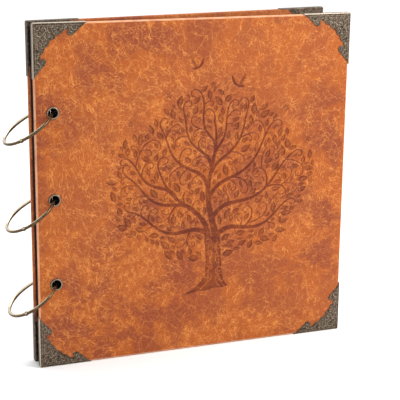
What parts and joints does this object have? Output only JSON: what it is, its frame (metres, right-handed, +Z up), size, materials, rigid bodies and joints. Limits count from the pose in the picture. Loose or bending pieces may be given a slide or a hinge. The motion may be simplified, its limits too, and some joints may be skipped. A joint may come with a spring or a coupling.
{
  "type": "scrapbook album",
  "caption": "Square scrapbook album: two leather-covered boards with metal corners, black leaves between them, joined by loose-leaf rings through eyelets.",
  "frame": {"origin": "on the surface that the album stands on, below the middle of its bounding box", "axes": "+X from the rings to the fore-edge, the front cover faces -Y, +Z up"},
  "size_m": [0.2718, 0.0608, 0.26],
  "materials": {
    "leather": "embossed pull-up leather, burnt orange with a crackled pattern, satin",
    "board": "greyboard",
    "liner": "matt black lining paper",
    "corner_metal": "stamped, antiqued to dark bronze with worn highlights",
    "brad_metal": "antiqued",
    "eyelet_metal": "antiqued, bright on the rim",
    "ring_metal": "light antique brass wire, polished",
    "pin_metal": "antique brass rivet",
    "leaf_card": "matt black card"
  },
  "bodies": {
    "back_cover": {"back_board": "board", "back_leather": "leather", "back_liner": "liner", "back_corner_top_spine": "corner_metal", "back_corner_top_fore": "corner_metal", "back_corner_bottom_spine": "corner_metal", "back_corner_bottom_fore": "corner_metal", "back_brads": "brad_metal", "back_eyelet_1": "eyelet_metal", "back_eyelet_2": "eyelet_metal", "back_eyelet_3": "eyelet_metal"},
    "front_cover": {"front_board": "board", "front_leather": "leather", "front_liner": "liner", "front_corner_top_spine": "corner_metal", "front_corner_top_fore": "corner_metal", "front_corner_bottom_spine": "corner_metal", "front_corner_bottom_fore": "corner_metal", "front_brads": "brad_metal", "front_eyelet_1": "eyelet_metal", "front_eyelet_2": "eyelet_metal", "front_eyelet_3": "eyelet_metal"},
    "leaf_pack_1": {"leaf_pack_1": "leaf_card"},
    "leaf_pack_2": {"leaf_pack_2": "leaf_card"},
    "leaf_pack_3": {"leaf_pack_3": "leaf_card"},
    "leaf_pack_4": {"leaf_pack_4": "leaf_card"},
    "leaf_pack_5": {"leaf_pack_5": "leaf_card"},
    "leaf_pack_6": {"leaf_pack_6": "leaf_card"},
    "ring_1_arm": {"ring_1_arm": "ring_metal", "ring_1_pin": "pin_metal"},
    "ring_1_gate": {"ring_1_gate": "ring_metal"},
    "ring_2_arm": {"ring_2_arm": "ring_metal", "ring_2_pin": "pin_metal"},
    "ring_2_gate": {"ring_2_gate": "ring_metal"},
    "ring_3_arm": {"ring_3_arm": "ring_metal", "ring_3_pin": "pin_metal"},
    "ring_3_gate": {"ring_3_gate": "ring_metal"}
  },
  "joints": [
    {"name": "front_cover_hinge", "type": "hinge", "parent": "back_cover", "child": "front_cover", "pos_m": [-0.12037, -0.00888, 0], "axis": [0, 0, -1], "range_deg": [-6.8, 173.2]},
    {"name": "leaf_pack_1_turn", "type": "hinge", "parent": "back_cover", "child": "leaf_pack_1", "pos_m": [-0.12037, -0.00888, 0], "axis": [0, 0, -1], "range_deg": [-6.78, 171.52]},
    {"name": "leaf_pack_2_turn", "type": "hinge", "parent": "back_cover", "child": "leaf_pack_2", "pos_m": [-0.12037, -0.00888, 0], "axis": [0, 0, -1], "range_deg": [-6.71, 169.79]},
    {"name": "leaf_pack_3_turn", "type": "hinge", "parent": "back_cover", "child": "leaf_pack_3", "pos_m": [-0.12037, -0.00888, 0], "axis": [0, 0, -1], "range_deg": [-6.65, 168.05]},
    {"name": "leaf_pack_4_turn", "type": "hinge", "parent": "back_cover", "child": "leaf_pack_4", "pos_m": [-0.12037, -0.00888, 0], "axis": [0, 0, -1], "range_deg": [-0.25, 5.25]},
    {"name": "leaf_pack_5_turn", "type": "hinge", "parent": "back_cover", "child": "leaf_pack_5", "pos_m": [-0.12037, -0.00888, 0], "axis": [0, 0, -1], "range_deg": [-0.19, 3.51]},
    {"name": "leaf_pack_6_turn", "type": "hinge", "parent": "back_cover", "child": "leaf_pack_6", "pos_m": [-0.12037, -0.00888, 0], "axis": [0, 0, -1], "range_deg": [-0.12, 1.78]},
    {"name": "ring_1_swing", "type": "hinge", "parent": "front_cover", "child": "ring_1_arm", "pos_m": [-0.10048, -0.01569, 0.19512], "axis": [0.6555, 0.7298, 0.1943], "range_deg": [-1.78, 42.82]},
    {"name": "ring_1_gate_hinge", "type": "hinge", "parent": "ring_1_arm", "child": "ring_1_gate", "pos_m": [-0.12637, -0.02606, 0.17818], "axis": [0.5437, 0.0323, -0.8387], "range_deg": [0, 50]},
    {"name": "ring_2_swing", "type": "hinge", "parent": "front_cover", "child": "ring_2_arm", "pos_m": [-0.10048, -0.01569, 0.13012], "axis": [0.6555, 0.7298, 0.1943], "range_deg": [-1.78, 42.82]},
    {"name": "ring_2_gate_hinge", "type": "hinge", "parent": "ring_2_arm", "child": "ring_2_gate", "pos_m": [-0.12637, -0.02606, 0.11318], "axis": [0.5437, 0.0323, -0.8387], "range_deg": [0, 50]},
    {"name": "ring_3_swing", "type": "hinge", "parent": "front_cover", "child": "ring_3_arm", "pos_m": [-0.10048, -0.01569, 0.06512], "axis": [0.6555, 0.7298, 0.1943], "range_deg": [-1.78, 42.82]},
    {"name": "ring_3_gate_hinge", "type": "hinge", "parent": "ring_3_arm", "child": "ring_3_gate", "pos_m": [-0.12637, -0.02606, 0.04818], "axis": [0.5437, 0.0323, -0.8387], "range_deg": [0, 50]}
  ],
  "couplings": [
    {"joint": "leaf_pack_1_turn", "follows": "front_cover_hinge", "ratio": 0.99},
    {"joint": "leaf_pack_2_turn", "follows": "front_cover_hinge", "ratio": 0.98},
    {"joint": "leaf_pack_3_turn", "follows": "front_cover_hinge", "ratio": 0.97},
    {"joint": "leaf_pack_4_turn", "follows": "front_cover_hinge", "ratio": 0.03},
    {"joint": "leaf_pack_5_turn", "follows": "front_cover_hinge", "ratio": 0.02},
    {"joint": "leaf_pack_6_turn", "follows": "front_cover_hinge", "ratio": 0.01},
    {"joint": "ring_1_swing", "follows": "front_cover_hinge", "ratio": 0.24664},
    {"joint": "ring_2_swing", "follows": "front_cover_hinge", "ratio": 0.24664},
    {"joint": "ring_3_swing", "follows": "front_cover_hinge", "ratio": 0.24664}
  ]
}
